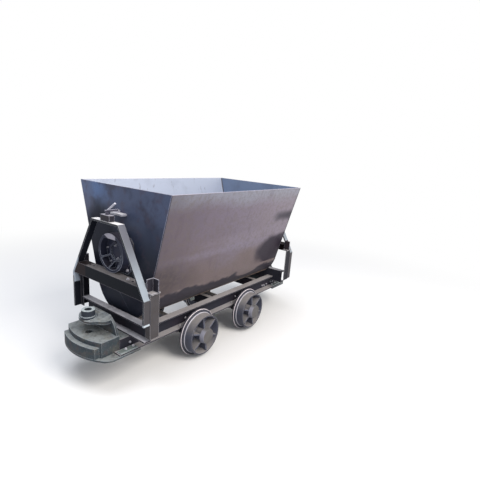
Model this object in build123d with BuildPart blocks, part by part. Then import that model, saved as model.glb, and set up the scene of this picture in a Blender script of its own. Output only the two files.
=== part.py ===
from build123d import *
from math import acos, atan2, cos, hypot, radians, sin
import os

# Bucket tipping ore cart, in millimetres
# X runs along the track, Y across it, Z up; the origin is on the floor under the middle
# "front" is the -X end and "rear" the +X end; "left" is +Y and "right" is -Y

# Wheels and axles
tread_radius = 150
flange_radius = 175
flange_tip = 16
flange_round = 6
flange_root = 11
wheelbase = 600
flange_back = 265
flange_width = 30
tread_width = 60
tread_fall = 3
rim_inner_radius = 124
rim_mouth_radius = 138
web_set_back = 12
web_thickness = 14
hub_radius = 52
hub_length = 88
rib_count = 6
rib_thickness = 11
rib_set_back = 3
rib_bite = 3
rib_turn = 40
cap_radius = 61
cap_length = 32
cap_taper = 14
cap_round = 6
axle_radius = 30
journal_gap = 0.1

# Sole bars
sole_height = 120
sole_flange = 59
sole_inner = 181
sole_bottom = 230
sole_half_length = 940
sole_web_end = 905
section_web = 6
section_flange = 9

# Headstocks, the end cross channels
headstock_height = 110
headstock_depth = 50
headstock_back = 783
headstock_bottom = 308
headstock_half_length = 332

# Cross members between the sole bars
cross_height = 80
cross_flange = 40
cross_wall = 6
cross_bottom = 240
cross_places = [-640, 0, 640]

# Axle pedestals under the sole bars
pedestal_inner = 195
pedestal_thickness = 40
pedestal_web = 14
pedestal_top_half = 174
pedestal_low_half = 92
pedestal_knee_drop = 62
housing_radius = 58

# Corner posts, caps and stop angles
post_width = 68
post_depth = 40
post_wall = 5
post_bottom = 345
post_top = 632
cap_plate = 8
cap_overhang = 10
stop_leg = 52
stop_wall = 6
stop_height = 80
stop_set_in = 2

# End frames bent from flat bar
frame_inner = 826
strip_width = 47
strip_thickness = 12
frame_foot_short = 161
frame_foot_long = 253
frame_bend = 603
frame_half_top = 134
frame_top = 1010

# Crossbars that carry the rockers
crossbar_top = 680
crossbar_width = 70
crossbar_height = 80
crossbar_wall = 8
crossbar_set_in = 3
crossbar_hole_radius = 9
crossbar_hole_places = [178, 222]

# Hopper
hopper_half_length = 750
rim_half_width = 445
rim_height = 1215
trough_radius = 276
trough_centre = 622
plate = 6

# Rockers on the hopper's ends
rocker_radius = 125
rocker_gap = 0.3
rocker_rim = 17
rocker_width = 60
rocker_floor = 10
rocker_chord = 90
rocker_hub_radius = 68
rocker_hub_sides = 7
rocker_hub_depth = 20
rocker_hub_wall = 13
rocker_turn = 24.5
rocker_ribs = 4
rocker_rib_thickness = 9
pad_thickness = 22
pad_half_width = 120
pad_above = 100
pad_below = 131
pad_corner = 28

# Buffers
block_wall = 24
block_top = 330
block_front = 1068
lip_top = 298
lip_reach = 29
lip_set_in = 15
buffer_arc = 397
tail_start = 795
hood_back = 900
hood_top = 443
hood_fall = 0.15
hood_plate = 16
hood_half_top = 92
hood_half_middle = 144
hood_middle_rise = 65
hood_half_foot = 172
nose_centre = 920
nose_radius = 118
pin_centre = 993
pin_bore_radius = 22
collar_radius = 40
collar_top = 480
bead_radius = 47
bead_height = 12
foot_plate = 12
foot_half_width = 245
foot_corner = 70
foot_start = 790

# Straps bolted on the sole bars beside the buffers
strap_length = 124
strap_width = 42
strap_thickness = 8
strap_centre = 872

# Latches between the end frames and the hopper
latch_block_length = 90
latch_block_height = 38
latch_block_width = 36
latch_lug = 16
latch_bar_radius = 6
latch_bar_level = 1072
latch_nose = 776
handle_rise = 55
handle_lean = 80
keeper_length = 112
keeper_height = 12
keeper_reach = 40
keeper_level = 1040
catch_place = 31
catch_length = 40
catch_height = 15
catch_reach = 20

# Each row is a name and its direction: ends along X, sides along Y
ends = [("front", -1), ("rear", 1)]
sides = [("left", 1), ("right", -1)]

os.makedirs("parts", exist_ok=True)

# Values worked out from the sizes above
axle_height = flange_radius
axle_end = flange_back + hub_length
wheel_face = flange_back + flange_width + tread_width
sole_outer = sole_inner + sole_flange
sole_top = sole_bottom + sole_height
headstock_face = headstock_back + headstock_depth
headstock_top = headstock_bottom + headstock_height
post_inner = headstock_half_length
post_outer = post_inner + post_depth
cap_top = post_top + cap_plate
frame_outer = frame_inner + strip_width
frame_half_base = post_outer
frame_lean = (frame_half_base - frame_half_top) / (frame_top - frame_bend)
rocker_centre = crossbar_top + rocker_gap + rocker_radius
pad_face = hopper_half_length + pad_thickness
lip_front = block_front + lip_reach

# The hopper's side leaves the trough where a line from the rim touches its circle
rim_rise = rim_height - trough_centre
rim_reach = hypot(rim_half_width, rim_rise)
side_angle = atan2(rim_rise, rim_half_width) - acos(trough_radius / rim_reach)
rim_inner_half = rim_half_width - plate / cos(side_angle)


def keep(built, name):
    """Name a finished piece and write it."""
    built.part.label = name
    export_step(built.part, f"parts/{name}.step")


def channel(back, toe, low, high, web, flange):
    """Corners of a channel section with its web at back and its flanges out to toe."""
    inside = back + web if toe > back else back - web
    return [
        (back, low),
        (toe, low),
        (toe, low + flange),
        (inside, low + flange),
        (inside, high - flange),
        (toe, high - flange),
        (toe, high),
        (back, high),
    ]


def seam_point(radius, hand):
    """Where a side plate meets the trough, as (across, up)."""
    return (hand * radius * cos(side_angle), trough_centre + radius * sin(side_angle))


def leg_inside(height):
    """Half the width between an end frame's legs, at a height."""
    sloping = frame_half_base - (height - frame_bend) * frame_lean
    return min(frame_half_base - strip_thickness, sloping - strip_thickness * hypot(1, frame_lean))


def roof(distance):
    """Height of the buffer hood's top, at a distance along X from the middle."""
    return hood_top - hood_fall * (distance - hood_back)


def across(x, y, hand):
    """A plane facing outwards across the track, with its middle on the axle's line."""
    return Plane((x, y, axle_height), x_dir=(-hand, 0, 0), z_dir=(0, hand, 0))


# Sole bars: channels with their flanges outwards, coped over the headstocks
# and down to the lower flange beside the buffers
copes = (
    (headstock_back, headstock_bottom),
    (sole_web_end, sole_bottom + section_flange),
)
for side, hand in sides:
    with BuildPart() as sole_bar:
        with BuildSketch(Plane.YZ):
            with BuildLine():
                Polyline(
                    channel(
                        hand * sole_inner,
                        hand * sole_outer,
                        sole_bottom,
                        sole_top,
                        section_web,
                        section_flange,
                    ),
                    close=True,
                )
            make_face()
        extrude(amount=sole_half_length, both=True)
        cope_y = hand * (sole_inner + sole_outer) / 2
        for start, low in copes:
            cope_x = (start + sole_half_length) / 2
            cope_z = (low + sole_top) / 2
            with Locations((cope_x, cope_y, cope_z), (-cope_x, cope_y, cope_z)):
                Box(sole_half_length - start, sole_flange, sole_top - low, mode=Mode.SUBTRACT)
    keep(sole_bar, f"sole_bar_{side}")

# Cross members: channels between the sole bars' webs
with BuildPart() as cross_members:
    with BuildSketch(Plane.XZ):
        for place in cross_places:
            with BuildLine():
                Polyline(
                    channel(
                        place - cross_flange / 2,
                        place + cross_flange / 2,
                        cross_bottom,
                        cross_bottom + cross_height,
                        cross_wall,
                        cross_wall,
                    ),
                    close=True,
                )
            make_face()
    extrude(amount=sole_inner, both=True)
keep(cross_members, "cross_members")

for end, way in ends:
    # Headstock: a channel with its flanges outwards, seated on the coped webs
    with BuildPart() as headstock:
        with BuildSketch(Plane.XZ):
            with BuildLine():
                Polyline(
                    channel(
                        way * headstock_back,
                        way * headstock_face,
                        headstock_bottom,
                        headstock_top,
                        section_web,
                        section_flange,
                    ),
                    close=True,
                )
            make_face()
        extrude(amount=headstock_half_length, both=True)
    keep(headstock, f"headstock_{end}")

    # Corner posts: capped angles on the headstock's ends, open towards the middle
    post_x = way * (frame_inner - post_width / 2)
    post_y = (post_inner + post_outer) / 2
    cap_y = post_y + cap_overhang / 2
    post_hollow_x = post_x - way * post_wall
    post_hollow_y = post_y - post_wall
    with BuildPart() as corner_posts:
        with BuildSketch(Plane.XY.offset(post_bottom)):
            with Locations((post_x, post_y), (post_x, -post_y)):
                Rectangle(post_width, post_depth)
            with Locations((post_hollow_x, post_hollow_y), (post_hollow_x, -post_hollow_y)):
                Rectangle(post_width, post_depth, mode=Mode.SUBTRACT)
        extrude(amount=post_top - post_bottom)
        with BuildSketch(Plane.XY.offset(post_top)):
            with Locations((post_x, cap_y), (post_x, -cap_y)):
                Rectangle(post_width, post_depth + cap_overhang)
        extrude(amount=cap_plate)
    keep(corner_posts, f"corner_posts_{end}")

    # Stop angles: short uprights on the caps, open towards the corner
    stop_outer = way * frame_inner
    stop_inner = way * (frame_inner - stop_leg)
    stop_web = way * (frame_inner - stop_leg + stop_wall)
    with BuildPart() as stop_angles:
        with BuildSketch(Plane.XY.offset(cap_top)):
            for hand in (1, -1):
                stop_near = hand * (post_inner + stop_set_in)
                with BuildLine():
                    Polyline(
                        (stop_inner, stop_near),
                        (stop_outer, stop_near),
                        (stop_outer, stop_near + hand * stop_wall),
                        (stop_web, stop_near + hand * stop_wall),
                        (stop_web, stop_near + hand * stop_leg),
                        (stop_inner, stop_near + hand * stop_leg),
                        close=True,
                    )
                make_face()
        extrude(amount=stop_height)
    keep(stop_angles, f"stop_angles_{end}")

    # End frame: one flat bar bent into a trapezium with upright feet, one of them longer
    short_foot = frame_bend - frame_foot_short
    long_foot = frame_bend - frame_foot_long
    with BuildPart() as end_frame:
        with BuildSketch(Plane.YZ.offset(way * (frame_inner + strip_width / 2))):
            with BuildLine():
                bent_bar = Polyline(
                    (-frame_half_base, short_foot if way < 0 else long_foot),
                    (-frame_half_base, frame_bend),
                    (-frame_half_top, frame_top),
                    (frame_half_top, frame_top),
                    (frame_half_base, frame_bend),
                    (frame_half_base, long_foot if way < 0 else short_foot),
                )
                offset(bent_bar, amount=strip_thickness, side=Side.RIGHT)
            make_face()
        extrude(amount=strip_width / 2, both=True)
    keep(end_frame, f"end_frame_{end}")

    # Crossbar: an angle between the legs, flat on top, with spare bolt holes
    crossbar_face = frame_outer - crossbar_set_in
    hole_x = way * (crossbar_face - crossbar_width / 2)
    with BuildPart() as crossbar:
        for thickness, height in (
            (crossbar_wall, crossbar_height),
            (crossbar_width, crossbar_wall),
        ):
            low = crossbar_top - height
            with BuildSketch(Plane.YZ.offset(way * crossbar_face)):
                with BuildLine():
                    Polyline(
                        (-leg_inside(low), low),
                        (leg_inside(low), low),
                        (leg_inside(crossbar_top), crossbar_top),
                        (-leg_inside(crossbar_top), crossbar_top),
                        close=True,
                    )
                make_face()
            extrude(amount=-way * thickness)
        with BuildSketch(Plane.XY.offset(crossbar_top)):
            for place in crossbar_hole_places:
                with Locations((hole_x, place), (hole_x, -place)):
                    Circle(crossbar_hole_radius)
        extrude(amount=-crossbar_wall, mode=Mode.SUBTRACT)
        # Its inner edge stays between the corner posts, whatever the frame's bend
        notch_x = way * (frame_inner - crossbar_width / 2)
        with BuildSketch(Plane.XY.offset(crossbar_top)):
            with Locations((notch_x, post_y), (notch_x, -post_y)):
                Rectangle(crossbar_width, post_depth)
        extrude(amount=-crossbar_height, mode=Mode.SUBTRACT)
    keep(crossbar, f"crossbar_{end}")

    # Buffer hood: an arched back plate, seated in the block's top wall
    nose_end = nose_centre + nose_radius
    with BuildPart() as hood:
        with BuildSketch(Plane.YZ.offset(way * hood_back)) as arch:
            with BuildLine():
                Line((-hood_half_top, hood_top), (hood_half_top, hood_top))
                for hand in (1, -1):
                    ThreePointArc(
                        (hand * hood_half_top, hood_top),
                        (hand * hood_half_middle, block_top + hood_middle_rise),
                        (hand * hood_half_foot, block_top),
                    )
                Polyline(
                    (hood_half_foot, block_top),
                    (hood_half_foot, block_top - hood_plate),
                    (-hood_half_foot, block_top - hood_plate),
                    (-hood_half_foot, block_top),
                )
            make_face()
        extrude(amount=way * hood_plate)

    # The hood's roof: the same arch carried forward and down over a round nose
    with BuildPart() as hood_roof:
        with BuildSketch(Plane.YZ.offset(way * hood_back)):
            add(arch.sketch_local)
            offset(amount=-hood_plate, mode=Mode.SUBTRACT)
        forward = Vector(way, 0, -hood_fall)
        extrude(amount=(nose_end - hood_back) * forward.length, dir=forward)
        roof_clear = (block_top + hood_top) / 2
        with BuildSketch(Plane.XY.offset(roof_clear)):
            with Locations((way * (hood_back + nose_centre) / 2, 0)):
                Rectangle(nose_centre - hood_back, 2 * nose_radius)
            with Locations((way * nose_centre, 0)):
                Circle(nose_radius)
        extrude(amount=hood_top - roof_clear, mode=Mode.INTERSECT)

    # Buffer: a hollow block with a stepped round front, the hood and a pin collar
    cavity_end = block_front - 2 * block_wall
    tiers = (
        (block_front, sole_inner, block_top),
        (lip_front, sole_inner - lip_set_in, lip_top),
    )
    cavities = (
        (headstock_face, hood_back + hood_plate, headstock_bottom),
        (hood_back + hood_plate, cavity_end, block_top),
    )
    with BuildPart() as buffer:
        for front, half_width, top in tiers:
            with BuildSketch(Plane.XY.offset(sole_bottom)):
                with Locations((way * (front - buffer_arc), 0)):
                    Circle(buffer_arc)
                with Locations((way * (hood_back + front) / 2, 0)):
                    Rectangle(front - hood_back, 2 * half_width, mode=Mode.INTERSECT)
            extrude(amount=top - sole_bottom)
        with BuildSketch(Plane.XY.offset(sole_bottom)):
            with Locations((way * (tail_start + hood_back) / 2, 0)):
                Rectangle(hood_back - tail_start, 2 * sole_inner)
        extrude(amount=headstock_bottom - sole_bottom)
        for start, stop, top in cavities:
            with BuildSketch(Plane.XY.offset(sole_bottom)):
                with Locations((way * (start + stop) / 2, 0)):
                    Rectangle(stop - start, 2 * (sole_inner - block_wall))
            extrude(amount=top - block_wall - sole_bottom, mode=Mode.SUBTRACT)
        add(hood.part)
        add(hood_roof.part)
        collar_foot = roof(pin_centre) - hood_plate
        for radius, top in (
            (collar_radius, collar_top),
            (bead_radius, roof(pin_centre) + bead_height),
        ):
            with BuildSketch(Plane.XY.offset(collar_foot)):
                with Locations((way * pin_centre, 0)):
                    Circle(radius)
            extrude(amount=top - collar_foot)
        with BuildSketch(Plane.XY.offset(sole_bottom)):
            with Locations((way * pin_centre, 0)):
                Circle(pin_bore_radius)
        extrude(amount=collar_top - sole_bottom, mode=Mode.SUBTRACT)
    keep(buffer, f"buffer_{end}")

    # Foot plate under the buffer and the sole bars' ends
    with BuildPart() as buffer_foot:
        with BuildSketch(Plane.XY.offset(sole_bottom - foot_plate)):
            with Locations((way * (lip_front - buffer_arc), 0)):
                Circle(buffer_arc)
            with Locations((way * (foot_start + lip_front) / 2, 0)):
                Rectangle(lip_front - foot_start, 2 * foot_half_width, mode=Mode.INTERSECT)
        extrude(amount=foot_plate)
        outward = Axis((0, 0, 0), (way, 0, 0))
        fillet(buffer_foot.edges().filter_by(Axis.Z).sort_by(outward)[-2:], foot_corner)
    keep(buffer_foot, f"buffer_foot_{end}")

    # Latch block on the end frame's top bar
    frame_middle = way * (frame_inner + strip_width / 2)
    block_level = frame_top + latch_block_height
    with BuildPart() as latch_block:
        with BuildSketch(Plane.XY.offset(frame_top)):
            with Locations((frame_middle, 0)):
                Rectangle(latch_block_width, latch_block_length)
        extrude(amount=latch_block_height)
    keep(latch_block, f"latch_block_{end}")

    # Latch lever: a lug on the block, a nose over the keeper and a leaning handle
    with BuildPart() as latch_lever:
        with BuildSketch(Plane.XY.offset(block_level)):
            with Locations((frame_middle, 0)):
                Rectangle(latch_lug, latch_lug)
        extrude(amount=latch_bar_level - block_level)
        with BuildSketch(Plane.YZ.offset(frame_middle + way * latch_lug)):
            with Locations((0, latch_bar_level)):
                Circle(latch_bar_radius)
        extrude(amount=-way * (abs(frame_middle) + latch_lug - latch_nose))
        handle = Vector(0, way * handle_lean, handle_rise)
        with BuildSketch(Plane((frame_middle, 0, latch_bar_level), z_dir=handle)):
            Circle(latch_bar_radius)
        extrude(amount=handle.length)
    keep(latch_lever, f"latch_lever_{end}")

# Straps on the sole bars' lower flanges, beside the buffers
with BuildPart() as buffer_straps:
    with BuildSketch(Plane.XY.offset(sole_bottom + section_flange)):
        with GridLocations(2 * strap_centre, 2 * sole_outer - strap_width, 2, 2):
            Rectangle(strap_length, strap_width)
    extrude(amount=strap_thickness)
keep(buffer_straps, "buffer_straps")

for end, way in ends:
    axle_x = way * wheelbase / 2

    # Pedestals: plates under the sole bars, each with a round housing for the axle
    seat = sole_bottom - axle_height
    knee = seat - pedestal_knee_drop
    corner = housing_radius * sin(radians(45))
    with BuildPart() as pedestals:
        for hand in (1, -1):
            inner_face = across(axle_x, hand * pedestal_inner, hand)
            middle = across(axle_x, hand * (pedestal_inner + pedestal_thickness / 2), hand)
            with BuildSketch(middle):
                with BuildLine():
                    Polyline(
                        (-pedestal_top_half, seat),
                        (-pedestal_low_half, knee),
                        (-corner, -corner),
                        (corner, -corner),
                        (pedestal_low_half, knee),
                        (pedestal_top_half, seat),
                        close=True,
                    )
                make_face()
            extrude(amount=pedestal_web / 2, both=True)
            with BuildSketch(inner_face):
                Circle(housing_radius)
                with Locations((0, seat)):
                    Rectangle(
                        2 * housing_radius,
                        housing_radius,
                        align=(Align.CENTER, Align.MIN),
                        mode=Mode.SUBTRACT,
                    )
                with Locations((0, seat - pedestal_web / 2)):
                    Rectangle(2 * pedestal_top_half, pedestal_web)
            extrude(amount=pedestal_thickness)
            with BuildSketch(inner_face):
                Circle(axle_radius + journal_gap)
            extrude(amount=pedestal_thickness, mode=Mode.SUBTRACT)
    keep(pedestals, f"pedestals_{end}")

    # Axle, pressed into both wheels
    with BuildPart() as axle:
        with BuildSketch(across(axle_x, 0, 1)):
            Circle(axle_radius)
        extrude(amount=axle_end, both=True)
    keep(axle, f"axle_{end}")

    # Wheels: a flanged rim, a closed web, ribs and a long hub
    web_back = flange_back + web_set_back
    web_front = web_back + web_thickness
    tread_end = tread_radius - tread_fall
    for side, hand in sides:
        with BuildPart() as wheel:
            with BuildSketch(Plane.YZ.offset(axle_x)):
                tip_back = (hand * flange_back, axle_height + flange_radius)
                tip_front = (hand * (flange_back + flange_tip), axle_height + flange_radius)
                root = (hand * (flange_back + flange_width), axle_height + tread_radius)
                with BuildLine():
                    FilletPolyline(
                        (hand * flange_back, axle_height + rim_inner_radius + flange_round),
                        tip_back,
                        tip_front,
                        root,
                        (hand * wheel_face, axle_height + tread_end),
                        radius=(flange_round, flange_round, flange_root),
                    )
                    Polyline(
                        (hand * wheel_face, axle_height + tread_end),
                        (hand * wheel_face, axle_height + rim_mouth_radius),
                        (hand * web_front, axle_height + rim_inner_radius),
                        (hand * flange_back, axle_height + rim_inner_radius),
                        (hand * flange_back, axle_height + rim_inner_radius + flange_round),
                    )
                make_face()
                web_reach = rim_inner_radius - hub_radius
                web_middle = hub_radius + web_reach / 2
                with Locations((hand * (web_back + web_front) / 2, axle_height + web_middle)):
                    Rectangle(web_thickness, web_reach)
                hub_wall = hub_radius - axle_radius
                hub_middle = flange_back + hub_length / 2
                with Locations((hand * hub_middle, axle_height + axle_radius + hub_wall / 2)):
                    Rectangle(hub_length, hub_wall)
            revolve(axis=Axis((axle_x, 0, axle_height), (0, 1, 0)))
            rib_middle = (hub_radius + rim_mouth_radius) / 2
            rib_length = rim_mouth_radius - hub_radius + 2 * rib_bite
            with BuildSketch(across(axle_x, hand * web_front, hand)):
                with PolarLocations(rib_middle, rib_count, start_angle=rib_turn):
                    Rectangle(rib_length, rib_thickness)
            extrude(amount=wheel_face - web_front - rib_set_back)
        keep(wheel, f"wheel_{end}_{side}")

    # Hub caps over the axle's ends
    with BuildPart() as hub_caps:
        for hand in (1, -1):
            with BuildSketch(across(axle_x, hand * axle_end, hand)):
                Circle(cap_radius)
            extrude(amount=cap_length, taper=cap_taper)
        rims = hub_caps.edges().filter_by(GeomType.CIRCLE).group_by(Axis.Y)
        fillet(rims[0] + rims[-1], cap_round)
    keep(hub_caps, f"hub_caps_{end}")

# Hopper sides: flat plates from the rim down to the trough
plate_half_length = hopper_half_length - plate
for side, hand in sides:
    with BuildPart() as side_plate:
        with BuildSketch(Plane.YZ):
            with BuildLine():
                Polyline(
                    (hand * rim_half_width, rim_height),
                    (hand * rim_inner_half, rim_height),
                    seam_point(trough_radius - plate, hand),
                    seam_point(trough_radius, hand),
                    close=True,
                )
            make_face()
        extrude(amount=plate_half_length, both=True)
    keep(side_plate, f"side_plate_{side}")

# Trough: the rolled bottom plate
inner_radius = trough_radius - plate
with BuildPart() as trough_plate:
    with BuildSketch(Plane.YZ):
        with BuildLine():
            ThreePointArc(
                seam_point(trough_radius, -1),
                (0, trough_centre - trough_radius),
                seam_point(trough_radius, 1),
            )
            Line(seam_point(trough_radius, 1), seam_point(inner_radius, 1))
            ThreePointArc(
                seam_point(inner_radius, 1),
                (0, trough_centre - inner_radius),
                seam_point(inner_radius, -1),
            )
            Line(seam_point(inner_radius, -1), seam_point(trough_radius, -1))
        make_face()
    extrude(amount=plate_half_length, both=True)
keep(trough_plate, "trough_plate")

for end, way in ends:
    # Hopper end: one flat plate cut to the section
    with BuildPart() as end_plate:
        with BuildSketch(Plane.YZ.offset(way * hopper_half_length)):
            with BuildLine():
                ThreePointArc(
                    seam_point(trough_radius, -1),
                    (0, trough_centre - trough_radius),
                    seam_point(trough_radius, 1),
                )
                Polyline(
                    seam_point(trough_radius, 1),
                    (rim_half_width, rim_height),
                    (-rim_half_width, rim_height),
                    seam_point(trough_radius, -1),
                )
            make_face()
        extrude(amount=-way * plate)
    keep(end_plate, f"end_plate_{end}")

    # Pad: a thick plate with cut corners between the end plate and the rocker
    pad_height = pad_above + pad_below
    pad_middle = rocker_centre + (pad_above - pad_below) / 2
    with BuildPart() as rocker_pad:
        with BuildSketch(Plane.YZ.offset(way * hopper_half_length)):
            with Locations((0, pad_middle)):
                Rectangle(2 * pad_half_width, pad_height)
        extrude(amount=way * pad_thickness)
        chamfer(rocker_pad.edges().filter_by(Axis.X), pad_corner)
    keep(rocker_pad, f"rocker_pad_{end}")

    # Rocker: a dished casting with a round rim, a hub with flat sides and ribs below
    centre = (way * pad_face, 0, rocker_centre)
    rocker_back = Plane(centre, x_dir=(0, way, 0), z_dir=(way, 0, 0))
    rim_inside = rocker_radius - rocker_rim
    with BuildPart() as rocker:
        with BuildSketch(rocker_back):
            Circle(rocker_radius)
        extrude(amount=rocker_floor)
        with BuildSketch(rocker_back):
            Circle(rocker_radius)
            Circle(rim_inside, mode=Mode.SUBTRACT)
        extrude(amount=rocker_width)
        with BuildSketch(rocker_back):
            Circle(rocker_radius)
            with Locations((0, rocker_chord)):
                Rectangle(
                    2 * rocker_radius,
                    2 * rocker_radius,
                    align=(Align.CENTER, Align.MAX),
                    mode=Mode.SUBTRACT,
                )
        extrude(amount=rocker_width)
        with BuildSketch(rocker_back):
            RegularPolygon(rocker_hub_radius, rocker_hub_sides, rotation=180 + rocker_turn)
        extrude(amount=rocker_hub_depth)
        for step in range(rocker_ribs):
            turn = -radians(rocker_turn + step * 360 / rocker_hub_sides)
            radial = Vector(0, -way * cos(turn), sin(turn))
            with BuildSketch(Plane(centre, x_dir=radial, z_dir=radial.cross(Vector(way, 0, 0)))):
                with BuildLine():
                    Polyline(
                        (rocker_hub_radius - rocker_rib_thickness, 0),
                        (rocker_radius - rocker_rim / 2, 0),
                        (rocker_radius - rocker_rim / 2, rocker_width),
                        (rim_inside, rocker_width),
                        (rocker_hub_radius, rocker_hub_depth),
                        (rocker_hub_radius - rocker_rib_thickness, rocker_hub_depth),
                        close=True,
                    )
                make_face()
            extrude(amount=rocker_rib_thickness / 2, both=True)
        with BuildSketch(rocker_back.offset(rocker_floor)):
            RegularPolygon(
                rocker_hub_radius - rocker_hub_wall,
                rocker_hub_sides,
                rotation=180 + rocker_turn,
            )
        extrude(amount=rocker_hub_depth, mode=Mode.SUBTRACT)
    keep(rocker, f"rocker_{end}")

    # Keeper: a short plate on the hopper's end that the latch holds, with a raised catch
    with BuildPart() as latch_keeper:
        with BuildSketch(Plane.YZ.offset(way * hopper_half_length)):
            with Locations((0, keeper_level + keeper_height / 2)):
                Rectangle(keeper_length, keeper_height)
        extrude(amount=way * keeper_reach)
        with BuildSketch(Plane.YZ.offset(way * hopper_half_length)):
            with Locations((-way * catch_place, keeper_level + keeper_height)):
                Rectangle(catch_length, catch_height, align=(Align.CENTER, Align.MIN))
        extrude(amount=way * catch_reach)
    keep(latch_keeper, f"latch_keeper_{end}")
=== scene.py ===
import random
from math import acos, atan2, cos, hypot, pi, radians, sin

import bmesh
import bpy
from mathutils import Matrix, Vector


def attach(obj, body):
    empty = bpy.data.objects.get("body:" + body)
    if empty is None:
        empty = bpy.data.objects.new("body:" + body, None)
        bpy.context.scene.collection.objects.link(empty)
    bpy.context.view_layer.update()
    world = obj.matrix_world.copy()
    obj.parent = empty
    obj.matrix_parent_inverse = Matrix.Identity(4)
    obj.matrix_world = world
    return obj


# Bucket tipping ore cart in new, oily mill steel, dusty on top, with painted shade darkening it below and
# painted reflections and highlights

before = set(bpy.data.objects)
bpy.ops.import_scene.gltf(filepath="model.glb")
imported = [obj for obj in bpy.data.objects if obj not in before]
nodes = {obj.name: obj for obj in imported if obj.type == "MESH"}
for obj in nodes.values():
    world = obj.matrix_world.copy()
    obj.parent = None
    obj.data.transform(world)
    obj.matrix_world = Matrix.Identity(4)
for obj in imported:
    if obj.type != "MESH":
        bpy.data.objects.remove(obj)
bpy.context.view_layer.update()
ends = (-1, 1)     # directions along X: front, rear
sides = (1, -1)    # directions along Y: left, right
print("frame loaded:", len(nodes), "nodes")


# Small helpers

def toLinear(hexColour):
    channels = [int(hexColour[i:i + 2], 16) / 255 for i in (1, 3, 5)]
    curved = [c / 12.92 if c <= 0.04045 else ((c + 0.055) / 1.055) ** 2.4 for c in channels]
    return (*curved, 1.0)


def addNode(tree, kind, settings=None, values=None, links=None):
    node = tree.nodes.new(kind)
    for name, value in (settings or {}).items():
        setattr(node, name, value)
    for socket, value in (values or {}).items():
        node.inputs[socket].default_value = value
    for socket, source in (links or {}).items():
        tree.links.new(source, node.inputs[socket])
    return node


def millimetres(size):
    return 1000 / size    # a pattern's scale per metre from its size in millimetres


# Steel finishes

steelDefaults = {
    "base": "#55565c", "metallic": 0.0, "rough": 0.5, "specular": 0.15, "coat": 0.0,
    "round": 1.5,               # mm, softened edges in the light
    "grain": (4, 0.10),         # mm and strength of the fine bump
    "waves": (260, 0.0),        # mm and strength of dents and waviness
    "layers": [],
}
bumpDepths = {"waves": 0.02, "grain": 0.0006}    # metres
noiseOrigin = (3.1, 1.7)        # along Y and Z; a layer's seed is its start along X
wheelMiddle = (0.3, 0, 0.175)   # metres, the wheel onto which a place without its signs folds all four


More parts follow.
